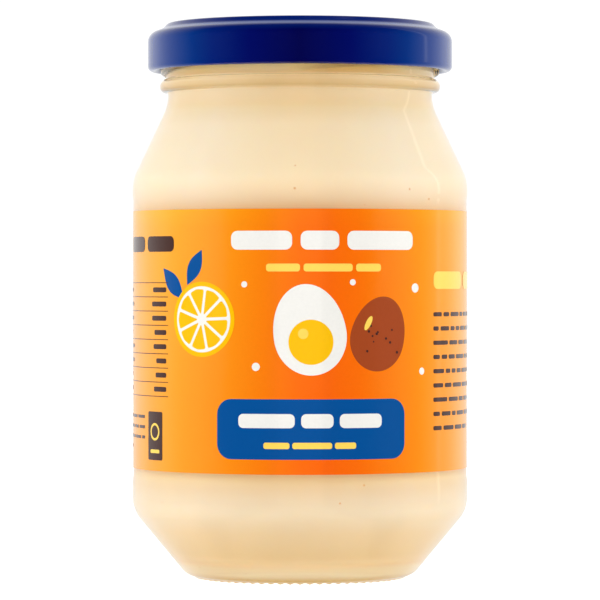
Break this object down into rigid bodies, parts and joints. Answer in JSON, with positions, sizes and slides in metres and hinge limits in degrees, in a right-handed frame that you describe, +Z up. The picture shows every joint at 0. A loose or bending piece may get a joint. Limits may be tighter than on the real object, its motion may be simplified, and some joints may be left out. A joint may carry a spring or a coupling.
{
  "type": "mayonnaise jar",
  "caption": "Shut clear glass jar full of mayonnaise, with a blue twist-off metal lid and an orange paper label wrapped round its middle.",
  "frame": {"origin": "on the jar's axis, in the plane that its standing ring rests on", "axes": "+Z up along the jar's axis, the front of the label faces -Y, +X to the right"},
  "size_m": [0.0664, 0.0664, 0.1097],
  "materials": {
    "clear_glass": "clear, smooth, glossy",
    "mayonnaise": "smooth pale cream, moist",
    "blue_lacquer": "glossy dark blue lacquer on thin steel",
    "label_paper": "coated paper, printed orange, satin"
  },
  "bodies": {
    "root": {"glass_jar": "clear_glass", "mayonnaise": "mayonnaise", "lid": "blue_lacquer", "label": "label_paper"}
  },
  "joints": []
}
